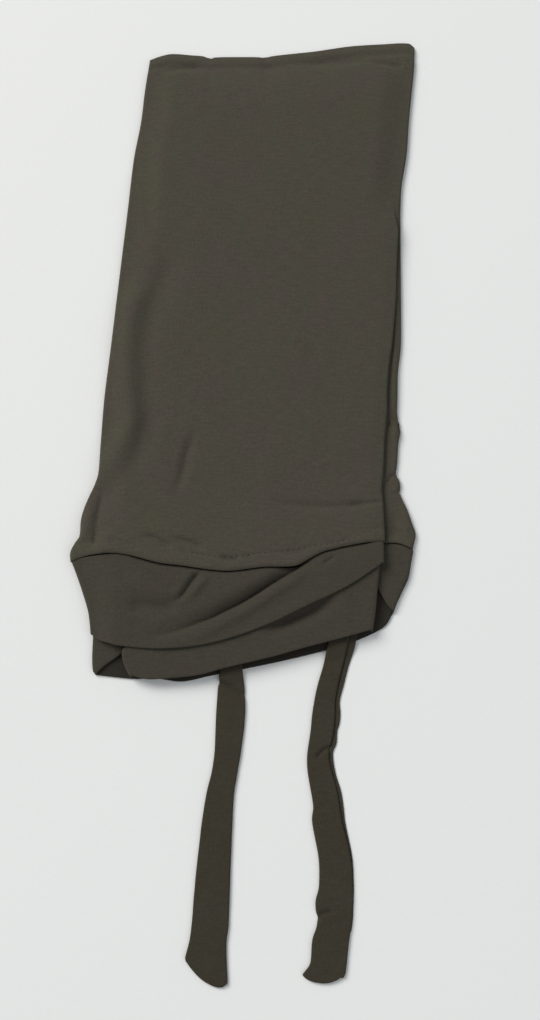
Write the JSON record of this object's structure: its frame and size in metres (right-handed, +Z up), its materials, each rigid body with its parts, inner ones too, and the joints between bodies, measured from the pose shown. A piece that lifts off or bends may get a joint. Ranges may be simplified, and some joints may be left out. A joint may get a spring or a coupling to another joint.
{
  "type": "criss-cross underscarf cap",
  "caption": "Soft jersey underscarf cap lying flat: a long tube crown closed at its far end, crossed front bands at the face opening, a nape band and loose flat ties.",
  "frame": {"origin": "centre of the bounding box in X and Y, on the floor that the cap lies on", "axes": "+Y from the ties' free ends to the closed end of the crown, +X to the right, +Z up out of the cap's front"},
  "size_m": [0.2303, 0.6353, 0.0118],
  "materials": {
    "crown_jersey": "dull dark olive viscose jersey, single layer",
    "band_jersey": "dull dark olive viscose jersey, doubled over",
    "tie_jersey": "dull dark olive viscose jersey strip, turned and pressed flat"
  },
  "bodies": {
    "root": {"crown": "crown_jersey", "nape_band": "band_jersey", "under_band": "band_jersey", "over_band": "band_jersey", "left_tie": "tie_jersey", "right_tie": "tie_jersey"}
  },
  "joints": []
}
